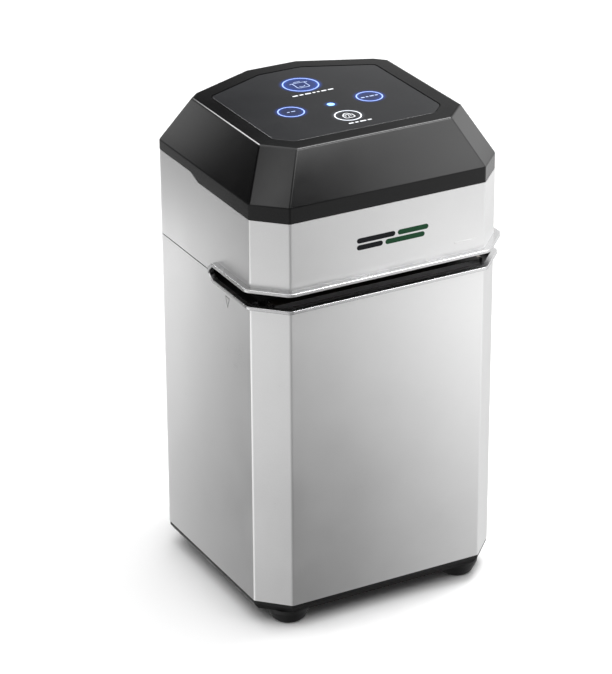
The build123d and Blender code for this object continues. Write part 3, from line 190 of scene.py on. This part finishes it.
def glass_material(name):
    """Dark touch glass, with the glow of the lit rings under it."""
    mat = surface(name, (0.020, 0.0205, 0.022), 0.16, grain=900.0, bump=0.02, mottle=0.05, spread=0.03,
                  IOR=1.42)
    g = Graph(mat.node_tree, keep=True)
    body = g.nodes["Principled BSDF"]
    spot = g.add("ShaderNodeSeparateXYZ", {0: g.place})
    total = (0.0, 0.0, 0.0)
    # Each light's centre, radius, fill colour and halo colour.
    lights = [
        (LARGE_C, LARGE_R, (0.008, 0.032, 0.19), (0.02, 0.09, 0.55)),
        ((-SIDE_X, SIDE_Y), SMALL_R, (0.007, 0.020, 0.10), (0.015, 0.06, 0.40)),
        ((SIDE_X, SIDE_Y), SMALL_R, (0.007, 0.024, 0.13), (0.015, 0.07, 0.46)),
        (WHITE_C, SMALL_R, (0.012, 0.013, 0.016), (0.10, 0.11, 0.13)),
        (LENS_C, LENS_R, (0.0, 0.02, 0.10), (0.02, 0.09, 0.45)),
    ]
    for (cx, cy), radius, fill, halo in lights:
        dx = g.math("SUBTRACT", spot.outputs["X"], cx)
        dy = g.math("SUBTRACT", spot.outputs["Y"], cy)
        away = g.math("SQRT", g.math("ADD", g.math("MULTIPLY", dx, dx), g.math("MULTIPLY", dy, dy)))
        inside = g.remap(away, radius - RING_EDGE / 2, radius - RING_EDGE, 0.0, 1.0)
        deep = g.math("MULTIPLY", inside, g.remap(away, 0.0, radius, 0.75, 1.15))
        near = g.math("ABSOLUTE", g.math("SUBTRACT", away, radius - RING_EDGE / 3))
        glow = g.math("POWER", g.remap(near, 0.0, HALO_REACH, 1.0, 0.0), HALO_FALL)
        for weight, colour in ((deep, fill), (glow, halo)):
            part = g.add("ShaderNodeVectorMath", {0: colour, 3: weight}, operation="SCALE").outputs[0]
            total = g.add("ShaderNodeVectorMath", {0: total, 1: part}, operation="ADD").outputs[0]
    g.feed(body, "Emission Color", total)
    body.inputs["Emission Strength"].default_value = 1.0
    return mat


def lit(name, colour, strength):
    """A lit diffuser or a lit printed mark."""
    mat = surface(name, [c * 0.6 for c in colour], 0.35, grain=3000.0, bump=0.04, mottle=0.06)
    body = mat.node_tree.nodes["Principled BSDF"]
    body.inputs["Emission Color"].default_value = rgba(colour)
    body.inputs["Emission Strength"].default_value = strength
    return mat


# ---------------------------------------------------------------- materials by slot
MATERIALS = {
    # The silver's near-white edge colour is a painted highlight along the shell's rims.
    "shell_metal": surface("satin_silver", (0.76, 0.76, 0.76), 0.33, metal=0.95, grain=2600.0, bump=0.35,
                           depth=0.03, mottle=0.05, spread=0.04, edge=0.35, edge_size=0.5,
                           edge_colour=(0.92, 0.92, 0.92)),
    "lip_metal": surface("lip_aluminium", (0.60, 0.60, 0.605), 0.26, metal=1.0, grain=900.0, bump=0.1,
                         stretch=(0.08, 0.08, 1.0), mottle=0.05, spread=0.05),
    # The cover's slightly paler edge colour is a faint painted highlight along its rims.
    "cover_plastic": surface("cover_black", (0.0036, 0.0036, 0.0038), 0.17, grain=2200.0, bump=0.05,
                             depth=0.02, mottle=0.12, spread=0.025, edge=0.10, edge_size=0.8,
                             edge_colour=(0.03, 0.03, 0.031), IOR=1.38),
    "base_plastic": surface("base_black", (0.008, 0.008, 0.0085), 0.40, grain=1800.0, bump=0.5, depth=0.05,
                            mottle=0.12, edge=0.3, edge_colour=(0.04, 0.04, 0.04), IOR=1.35),
    "foot_rubber": surface("foot_rubber", (0.003, 0.003, 0.0033), 0.62, grain=1400.0, bump=0.7, depth=0.08,
                           mottle=0.15, dust=0.02),
    "panel_glass": glass_material("touch_glass"),
    "ring_blue": lit("ring_blue_lit", (0.34, 0.48, 1.0), 0.95),
    "ring_white": lit("ring_white_lit", (0.88, 0.92, 1.0), 0.95),
    "lens_blue": lit("lens_blue_lit", (0.22, 0.45, 1.0), 2.2),
    "screw_steel": surface("screw_plated", (0.50, 0.50, 0.51), 0.26, metal=1.0, grain=1500.0, bump=0.2),
    "plated_steel": surface("zinc_plate", (0.58, 0.59, 0.61), 0.36, metal=1.0, grain=500.0, bump=0.2,
                            mottle=0.12, edge=0.4, edge_size=0.4),
    "deck_plastic": surface("deck_black", (0.014, 0.014, 0.015), 0.46, grain=1700.0, bump=0.5, depth=0.05,
                            mottle=0.12, edge=0.2, edge_size=0.4, edge_colour=(0.05, 0.05, 0.05)),
    "foam_rubber": surface("foam_rubber", (0.020, 0.020, 0.021), 0.85, grain=1100.0, bump=1.6, depth=0.2,
                           mottle=0.25),
    "silicone": surface("silicone_grey", (0.035, 0.035, 0.037), 0.55, grain=1200.0, bump=0.3, mottle=0.1),
    "hose_silicone": surface("hose_silicone", (0.55, 0.56, 0.55), 0.42, grain=700.0, bump=0.2,
                             mottle=0.08, Transmission_Weight=0.15),
    "bar_aluminium": surface("bar_aluminium", (0.72, 0.72, 0.73), 0.32, metal=1.0, grain=700.0, bump=0.2,
                             stretch=(0.05, 1.0, 1.0), mottle=0.08, edge=0.3, edge_size=0.3),
    "heater_alloy": surface("heater_alloy", (0.50, 0.46, 0.42), 0.35, metal=1.0, grain=900.0,
                            stretch=(0.05, 1, 1), mottle=0.15),
    "nonstick_tape": surface("nonstick_tape", (0.030, 0.025, 0.020), 0.38, grain=1300.0, bump=0.8,
                             depth=0.05, mottle=0.2),
    # Near-black terminal metal, darker than the terminals' own metal: painted shade for where they sit in the
    # dark slot.
    "terminal_metal": surface("terminal_dark", (0.05, 0.05, 0.052), 0.5, metal=0.8, grain=900.0, mottle=0.12),
    "brass": surface("brass", (0.68, 0.50, 0.22), 0.32, metal=1.0, grain=900.0, mottle=0.12, edge=0.3,
                     edge_size=0.3),
    "tray_plastic": surface("tray_grey", (0.16, 0.16, 0.17), 0.38, grain=1600.0, bump=0.3, mottle=0.08),
    "motor_steel": surface("motor_can", (0.45, 0.46, 0.48), 0.34, metal=1.0, grain=600.0, bump=0.2,
                           stretch=(1.0, 0.1, 0.1), mottle=0.12, edge=0.3),
    "cast_alloy": surface("cast_alloy", (0.42, 0.42, 0.43), 0.5, metal=0.9, grain=700.0, bump=1.0, depth=0.12,
                          mottle=0.15, edge=0.3),
    "shaft_steel": surface("ground_steel", (0.62, 0.62, 0.63), 0.2, metal=1.0, grain=800.0,
                           stretch=(1.0, 0.08, 0.08), bump=0.1, mottle=0.08),
    "fan_plastic": surface("fan_black", (0.03, 0.03, 0.032), 0.4, grain=1500.0, bump=0.3, mottle=0.1),
    "valve_plastic": surface("valve_ivory", (0.70, 0.68, 0.60), 0.45, grain=1500.0, bump=0.3, mottle=0.06),
    "socket_plastic": surface("socket_black", (0.018, 0.018, 0.019), 0.36, grain=1800.0, bump=0.3,
                              mottle=0.1, edge=0.2, edge_size=0.4),
    "gearbox_metal": surface("gearbox_steel", (0.30, 0.30, 0.31), 0.45, metal=0.9, grain=900.0, bump=0.5,
                             mottle=0.15, edge=0.3),
    "board_laminate": surface("board_green", (0.015, 0.11, 0.045), 0.33, grain=420.0, bump=0.4, depth=0.06,
                              mottle=0.25),
    "core_steel": surface("core_laminations", (0.10, 0.10, 0.105), 0.5, metal=0.6, grain=1600.0,
                          stretch=(0.05, 1.0, 0.05), bump=0.8, mottle=0.2),
    "lead_insulation": surface("lead_brown", (0.16, 0.06, 0.03), 0.4, grain=1200.0, bump=0.2, mottle=0.1),
    "hinge_steel": surface("hinge_steel", (0.55, 0.55, 0.56), 0.3, metal=1.0, grain=700.0, bump=0.2,
                           stretch=(0.06, 1.0, 1.0), mottle=0.1, edge=0.35, edge_size=0.4),
    "bearing_plastic": surface("bearing_white", (0.72, 0.71, 0.66), 0.42, grain=1500.0, bump=0.2,
                               mottle=0.06),
    "gear_plastic": surface("gear_white", (0.76, 0.75, 0.69), 0.4, grain=1500.0, bump=0.2, mottle=0.06),
    "gear_steel": surface("gear_steel", (0.40, 0.40, 0.41), 0.34, metal=1.0, grain=900.0, bump=0.3,
                          mottle=0.12, edge=0.35, edge_size=0.3),
}
SLOT_OF = {part["node"]: part["material_slot"] for part in frame["record"]["subparts"]}
# Nodes whose look differs from their slot's.
# The strip terminals take the near-black metal as painted shade for the slot they sit in.
OTHER = {"vacuum_hose": "hose_silicone", "strip_terminals": "terminal_metal"}
for node, obj in NODES.items():
    mat = MATERIALS[OTHER.get(node, SLOT_OF[node])]
    if not obj.material_slots:
        obj.data.materials.append(mat)
    for place in obj.material_slots:
        place.link = "OBJECT"
        place.material = mat


# ---------------------------------------------------------------- mesh helpers
def from_bmesh(name, bm, mat, body):
    """A piece made from a bmesh, riding on a body."""
    mesh = bpy.data.meshes.new(name)
    bmesh.ops.recalc_face_normals(bm, faces=bm.faces)
    bm.to_mesh(mesh)
    bm.free()
    mesh.materials.append(mat)
    obj = bpy.data.objects.new(name, mesh)
    bpy.context.scene.collection.objects.link(obj)
    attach(obj, body)
    return obj


def capsule_outline(length, width, steps=8):
    """A rounded bar's outline, lying along the first axis."""
    radius = width / 2
    reach = length / 2 - radius
    points = []
    for centre, start in ((reach, -math.pi / 2), (-reach, math.pi / 2)):
        for i in range(steps + 1):
            angle = start + math.pi * i / steps
            points.append((centre + radius * math.cos(angle), radius * math.sin(angle)))
    return points


def slab(bm, outline, matrix, height, soften=0.25):
    """A thin raised shape with a softened rim, standing on the plane that matrix gives."""
    rings = []
    for inset, rise in ((0.0, 0.0), (0.0, 1 - soften), (soften, 1.0)):
        ring = []
        for x, y in outline:
            scale = 1 - inset * height / max(0.0004, math.hypot(x, y))
            ring.append(bm.verts.new(matrix @ Vector((x * scale, y * scale, rise * height))))
        rings.append(ring)
    count = len(outline)
    for low, high in zip(rings, rings[1:]):
        for i in range(count):
            j = (i + 1) % count
            bm.faces.new((low[i], low[j], high[j], high[i]))
    bm.faces.new(rings[-1])
    bm.faces.new(list(reversed(rings[0])))


def bars(name, spots, width, height, matrix, mat, body):
    """Rounded bars, each (x, y, length) on the plane that matrix gives."""
    bm = bmesh.new()
    for x, y, length in spots:
        slab(bm, capsule_outline(length, width), matrix @ Matrix.Translation((x, y, 0)), height)
    return from_bmesh(name, bm, mat, body)


def strokes(name, lines, width, height, matrix, mat, body):
    """Line drawings: each line is (points, closed), drawn as a flattened round stroke."""
    curve = bpy.data.curves.new(name, "CURVE")
    curve.dimensions = "3D"
    curve.bevel_depth = width / 2
    curve.bevel_resolution = 2
    curve.use_fill_caps = True
    for points, closed in lines:
        spline = curve.splines.new("POLY")
        spline.points.add(len(points) - 1)
        for point, (x, y) in zip(spline.points, points):
            point.co = (x, y, 0, 1)
        spline.use_cyclic_u = closed
    holder = bpy.data.objects.new(name + "_line", curve)
    bpy.context.scene.collection.objects.link(holder)
    mesh = bpy.data.meshes.new_from_object(holder.evaluated_get(bpy.context.evaluated_depsgraph_get()))
    bpy.data.objects.remove(holder)
    bpy.data.curves.remove(curve)
    flat = Matrix.Diagonal((1, 1, height / (width / 2), 1))
    mesh.transform(matrix @ flat)
    mesh.materials.clear()
    mesh.materials.append(mat)
    for face in mesh.polygons:
        face.use_smooth = True
    obj = bpy.data.objects.new(name, mesh)
    bpy.context.scene.collection.objects.link(obj)
    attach(obj, body)
    return obj


def arc(cx, cy, radius, start, end, steps=16):
    """Points on an arc, in degrees."""
    return [(cx + radius * math.cos(math.radians(start + (end - start) * i / steps)),
             cy + radius * math.sin(math.radians(start + (end - start) * i / steps)))
            for i in range(steps + 1)]


def round_box(cx, cy, width, height, radius):
    """Points round a rounded rectangle."""
    points = []
    for sx, sy, start in ((1, 1, 0), (-1, 1, 90), (-1, -1, 180), (1, -1, 270)):
        points += arc(cx + sx * (width / 2 - radius), cy + sy * (height / 2 - radius), radius, start,
                      start + 90, 5)
    return points


# ---------------------------------------------------------------- printed marks on the glass
ON_GLASS = Matrix.Translation((0, 0, GLASS_TOP))
BLUE_INK = lit("ink_blue_lit", (0.50, 0.62, 0.95), 0.42)
WHITE_INK = lit("ink_white_lit", (0.85, 0.87, 0.9), 0.6)
PRINT_HEIGHT = 0.04 * MM


def scaled(lines, centre, size):
    """Line drawings moved to a centre, with their own units size metres long."""
    return [([(centre[0] + x * size, centre[1] + y * size) for x, y in points], closed)
            for points, closed in lines]


OPEN_BAG = [
    (round_box(0.0, -0.6, 7.2, 7.4, 1.0), True),
    ([(-5.4, 2.6), (-3.6, 3.1)], False),
    ([(3.6, 3.1), (5.4, 2.6)], False),
    ([(-2.0, 4.6), (2.0, 4.6)], False),
    (arc(0.0, -1.2, 1.7, 200, 340, 8), False),
]
CLOSED_BAG = [
    (round_box(0.0, -1.0, 6.2, 5.0, 1.2), True),
    (arc(0.0, 1.5, 2.0, 0, 180, 10), False),
    ([(0.0, -0.2), (0.0, -2.0)], False),
    ([(-1.6, -1.0), (-1.6, 0.4)], False),
    ([(1.6, -1.0), (1.6, 0.4)], False),
]
strokes("mark_large", scaled(OPEN_BAG, LARGE_C, 1.35 * MM), 0.7 * MM, PRINT_HEIGHT, ON_GLASS, BLUE_INK,
        "head")
strokes("mark_front", scaled(CLOSED_BAG, WHITE_C, 1.25 * MM), 0.8 * MM, PRINT_HEIGHT, ON_GLASS, WHITE_INK,
        "head")


def dashes(name, centre, lengths, gap, width, mat):
    """A centred row of short bars, with its lengths and sizes in millimetres, in place of a printed word."""
    total = sum(lengths) + gap * (len(lengths) - 1)
    x = -total / 2
    spots = []
    for length in lengths:
        spots.append((centre[0] + (x + length / 2) * MM, centre[1], length * MM))
        x += length + gap
    return bars(name, spots, width * MM, PRINT_HEIGHT, ON_GLASS, mat, "head")


LARGE_LABEL_DROP = 5.2 * MM
FRONT_LABEL_DROP = 4.4 * MM
FRONT_LABEL_X = 2.0 * MM
large_label = (0.0, LARGE_C[1] - LARGE_R - LARGE_LABEL_DROP)
front_label = (FRONT_LABEL_X, WHITE_C[1] - SMALL_R - FRONT_LABEL_DROP)
dashes("mark_left", (-SIDE_X, SIDE_Y), [2.4, 3.4], 0.9, 1.0, BLUE_INK)
dashes("mark_right", (SIDE_X, SIDE_Y), [3.2, 2.2, 3.6, 2.6], 0.8, 1.5, BLUE_INK)
dashes("label_large", large_label, [4.6, 3.4, 5.2, 2.4, 2.4, 4.4, 4.6], 1.1, 1.7, WHITE_INK)
dashes("label_front", front_label, [4.0, 3.0, 5.2, 3.4], 1.0, 1.6, WHITE_INK)

# ---------------------------------------------------------------- marks on the band and the left side
UPRIGHT = Matrix.Rotation(math.pi / 2, 4, "X")
ON_FRONT = Matrix.Translation((0, FRONT_Y, 0)) @ UPRIGHT
DARK_INK = surface("ink_dark", (0.008, 0.009, 0.011), 0.4, grain=2500.0, bump=0.1, mottle=0.06, IOR=1.2)
GREEN_INK = surface("ink_green", (0.010, 0.060, 0.024), 0.4, grain=2500.0, bump=0.1, mottle=0.06, IOR=1.2)
MARK_UPPER_Z, MARK_LOWER_Z = 298.8 * MM, 293.6 * MM
MARK_BAR = 3.9 * MM
INK_HEIGHT = 0.05 * MM
dark_bars = [(-10.5 * MM, MARK_UPPER_Z, 31.0 * MM), (-15.5 * MM, MARK_LOWER_Z, 21.0 * MM)]
green_bars = [(19.5 * MM, MARK_UPPER_Z, 25.0 * MM), (13.0 * MM, MARK_LOWER_Z, 32.0 * MM)]
raised_bar = [(63.0 * MM, 280.4 * MM, 18.0 * MM)]
bars("mark_band_dark", dark_bars, MARK_BAR, INK_HEIGHT, ON_FRONT, DARK_INK, "head")
bars("mark_band_green", green_bars, MARK_BAR, INK_HEIGHT, ON_FRONT, GREEN_INK, "head")

# The ink lies in the engraved triangle on the tower's left side.
ENGRAVED_X = LEFT_X + 0.35 * MM
ON_LEFT = Matrix.Translation((ENGRAVED_X, 0, 0)) @ Matrix.Rotation(-math.pi / 2, 4, "Z") @ UPRIGHT
ARROW_INK = surface("ink_grey", (0.05, 0.05, 0.052), 0.5, grain=2500.0, bump=0.1, mottle=0.06)
ARROW_Y, ARROW_Z = FRONT_Y + 55.5 * MM, 246.4 * MM
ARROW = [([(-3.0, 3.8), (3.0, 3.8), (0.0, -3.5)], True)]
strokes("mark_arrow", scaled(ARROW, (-ARROW_Y, ARROW_Z), MM), 0.5 * MM, PRINT_HEIGHT, ON_LEFT, ARROW_INK,
        "tower")
bars("mark_band_raised", raised_bar, 1.6 * MM, 0.25 * MM, ON_FRONT, MATERIALS["shell_metal"], "head")


# ---------------------------------------------------------------- stage, light and camera
FLOOR_HALF = 12.0
FLOOR_COLOUR = (0.93, 0.93, 0.93, 1)


def make_floor():
    """A plain pale floor, which doesn't show in the machine's reflections."""
    mesh = bpy.data.meshes.new("floor")
    corners = [(sx * FLOOR_HALF, sy * FLOOR_HALF, 0) for sx, sy in ((-1, -1), (1, -1), (1, 1), (-1, 1))]
    mesh.from_pydata(corners, [], [(0, 1, 2, 3)])
    obj = bpy.data.objects.new("floor", mesh)
    bpy.context.scene.collection.objects.link(obj)
    mat = bpy.data.materials.new("floor_pale")
    mat.use_nodes = True
    body = mat.node_tree.nodes["Principled BSDF"]
    body.inputs["Base Color"].default_value = FLOOR_COLOUR
    body.inputs["Roughness"].default_value = 0.6
    body.inputs["Specular IOR Level"].default_value = 0.15
    mesh.materials.append(mat)
    obj.visible_glossy = False


CARD_RADIUS = 0.36
CARD_LOW, CARD_HIGH = -0.35, 0.70
CARD_COLUMNS, CARD_ROWS = 180, 42
CARD_START = -20
# Heights on the card. The third height's brightness holds as far up as the fourth.
CARD_STOPS = (-0.10, 0.14, 0.21, 0.34, 0.38, 0.49, 0.57, 0.60)
# Degrees round from +X, then the card's brightness at each of those heights but the fourth.
CARD_LIGHT = [
    (-20, 0.9, 1.0, 1.0, 1.6, 1.8, 1.4, 3.0),
    (10, 0.85, 0.9, 1.0, 2.0, 0.9, 0.3, 1.0),
    (28, 0.8, 0.85, 1.0, 2.0, 0.35, 0.25, 0.5),
    (46, 0.85, 0.9, 1.0, 1.2, 0.3, 0.25, 0.5),
    (60, 0.9, 1.0, 1.0, 1.0, 0.2, 0.15, 0.5),
    (74, 0.9, 1.1, 1.0, 0.9, 0.03, 0.0, 0.3),
    (86, 0.9, 1.15, 1.0, 0.9, 0.03, 0.0, 0.5),
    (92, 0.9, 1.2, 0.9, 0.9, 0.1, 0.1, 14.0),
    (110, 0.9, 1.3, 0.65, 0.9, 0.5, 0.5, 14.0),
    (124, 1.0, 1.7, 0.65, 3.0, 0.5, 0.4, 3.0),
    (131, 0.5, 0.9, 0.3, 1.7, 0.3, 0.1, 1.0),
    (138, 0.12, 0.26, 0.12, 0.06, 0.0, 0.0, 0.3),
    (160, 0.2, 0.3, 0.15, 0.0, 0.0, 0.0, 0.0),
    (170, 1.1, 1.5, 0.7, 0.3, 0.1, 0.0, 0.0),
    (196, 1.1, 1.5, 0.7, 0.3, 0.2, 0.0, 0.3),
    (204, 0.58, 0.9, 0.6, 0.3, 0.5, 0.4, 0.6),
    (209, 0.58, 0.95, 0.8, 0.6, 2.6, 4.4, 4.4),
    (213, 0.55, 0.9, 0.7, 0.3, 0.2, 0.2, 0.3),
    (246, 0.3, 0.42, 0.3, 0.1, 0.1, 0.0, 0.3),
    (270, 0.16, 0.4, 0.4, 0.05, 0.0, 0.0, 4.0),
    (284, 0.2, 0.7, 0.7, 0.12, 0.0, 0.0, 12.0),
    (294, 0.4, 1.0, 0.8, 0.4, 2.6, 2.2, 12.0),
    (306, 0.75, 1.5, 1.0, 0.6, 5.2, 3.8, 12.0),
    (340, 0.9, 1.0, 1.0, 1.6, 1.8, 1.4, 3.0),
]


def along(table, at):
    """The row of numbers at a place in a table whose rows start with their places."""
    for a, b in zip(table, table[1:]):
        if at <= b[0]:
            share = max(0.0, (at - a[0]) / (b[0] - a[0]))
            return [u + (v - u) * share for u, v in zip(a[1:], b[1:])]
    return list(table[-1][1:])


def card_light(angle, z):
    """The card's brightness at an angle and a height."""
    levels = along(CARD_LIGHT, angle)
    levels.insert(3, levels[2])
    return along(list(zip(CARD_STOPS, levels)), z)[0]


def make_card():
    """A curved studio card that shows only in reflections, brighter in some directions than in others."""
    bm = bmesh.new()
    layer = bm.loops.layers.float_color.new("light")
    grid = []
    for i in range(CARD_COLUMNS):
        angle = CARD_START + 360 * i / CARD_COLUMNS
        x, y = CARD_RADIUS * math.cos(math.radians(angle)), CARD_RADIUS * math.sin(math.radians(angle))
        grid.append([(bm.verts.new((x, y, CARD_LOW + (CARD_HIGH - CARD_LOW) * j / CARD_ROWS)), angle)
                     for j in range(CARD_ROWS + 1)])
    for i in range(CARD_COLUMNS):
        near, far = grid[i], grid[(i + 1) % CARD_COLUMNS]
        for j in range(CARD_ROWS):
            corners = (near[j], far[j], far[j + 1], near[j + 1])
            face = bm.faces.new([c[0] for c in corners])
            for loop, (vert, angle) in zip(face.loops, corners):
                value = card_light(angle, vert.co.z)
                loop[layer] = (value, value, value, 1)
    mesh = bpy.data.meshes.new("card")
    bm.to_mesh(mesh)
    bm.free()
    obj = bpy.data.objects.new("card", mesh)
    bpy.context.scene.collection.objects.link(obj)
    mat = bpy.data.materials.new("card_glow")
    mat.use_nodes = True
    g = Graph(mat.node_tree)
    value = g.add("ShaderNodeVertexColor", layer_name="light").outputs["Color"]
    glow = g.add("ShaderNodeEmission", {"Color": value, "Strength": 1.0})
    g.tree.links.new(glow.outputs[0], g.add("ShaderNodeOutputMaterial").inputs[0])
    mesh.materials.append(mat)
    for ray in ("camera", "diffuse", "transmission", "volume_scatter", "shadow"):
        setattr(obj, "visible_" + ray, False)


SKY_DIM, SKY_BRIGHT = 0.12, 2.4
BACKDROP = 0.98
WHITE = (1, 1, 1, 1)


def make_world():
    """Bright overhead, dim at the horizon, and plain white where the camera looks past the floor."""
    world = bpy.data.worlds.new("studio")
    bpy.context.scene.world = world
    world.use_nodes = True
    g = Graph(world.node_tree)
    way = g.add("ShaderNodeTexCoord").outputs["Generated"]
    up = g.add("ShaderNodeSeparateXYZ", {0: way}).outputs["Z"]
    glow = g.remap(up, 0.5, 0.9, SKY_DIM, SKY_BRIGHT, smooth=True)
    soft = g.add("ShaderNodeBackground", {"Color": WHITE, "Strength": glow})
    plain = g.add("ShaderNodeBackground", {"Color": WHITE, "Strength": BACKDROP})
    seen = g.add("ShaderNodeLightPath").outputs["Is Camera Ray"]
    mix = g.add("ShaderNodeMixShader", {0: seen, 1: soft.outputs[0], 2: plain.outputs[0]})
    out = g.add("ShaderNodeOutputWorld")
    g.tree.links.new(mix.outputs[0], out.inputs[0])


LAMP_AIM = (0, 0, 0.36)
# Each lamp's place and size in metres, and its power in watts.
LAMPS = {
    "lamp_back": ((0.95, 1.30, 1.05), (0.6, 0.5), 0.15),
    "lamp_over": ((0.50, 0.0, 1.40), (0.30, 0.60), 10.0),
}


def make_lamp(name, place, size, power):
    """A rectangular lamp, turned towards the head."""
    lamp = bpy.data.lights.new(name, "AREA")
    lamp.shape = "RECTANGLE"
    lamp.size, lamp.size_y = size
    lamp.energy = power
    obj = bpy.data.objects.new(name, lamp)
    obj.location = place
    obj.rotation_euler = (Vector(LAMP_AIM) - Vector(place)).to_track_quat("-Z", "Y").to_euler()
    obj.visible_camera = False
    bpy.context.scene.collection.objects.link(obj)


CAMERA_PLACE = (-1.0061, -1.8375, 1.1663)
CAMERA_TURN = (28.394, 25.258, -0.311)
CAMERA_LENS = 166.1
SENSOR_WIDTH = 36.0


def make_camera():
    """The camera, turned by its azimuth, elevation and roll in degrees."""
    azimuth, elevation, roll = [math.radians(angle) for angle in CAMERA_TURN]
    back = Vector((-math.sin(azimuth) * math.cos(elevation), -math.cos(azimuth) * math.cos(elevation),
                   math.sin(elevation)))
    right = Vector((math.cos(azimuth), -math.sin(azimuth), 0))
    up = back.cross(right)
    x_axis = right * math.cos(roll) + up * math.sin(roll)
    y_axis = up * math.cos(roll) - right * math.sin(roll)
    data = bpy.data.cameras.new("camera")
    data.sensor_width = SENSOR_WIDTH
    data.lens = CAMERA_LENS
    data.clip_start, data.clip_end = 0.05, 50.0
    obj = bpy.data.objects.new("camera", data)
    turn = Matrix((x_axis, y_axis, back)).transposed().to_4x4()
    obj.matrix_world = Matrix.Translation(CAMERA_PLACE) @ turn
    bpy.context.scene.collection.objects.link(obj)
    bpy.context.scene.camera = obj


make_floor()
make_world()
make_card()
for lamp_name, values in LAMPS.items():
    make_lamp(lamp_name, *values)
make_camera()
bpy.context.scene.view_settings.view_transform = "Standard"
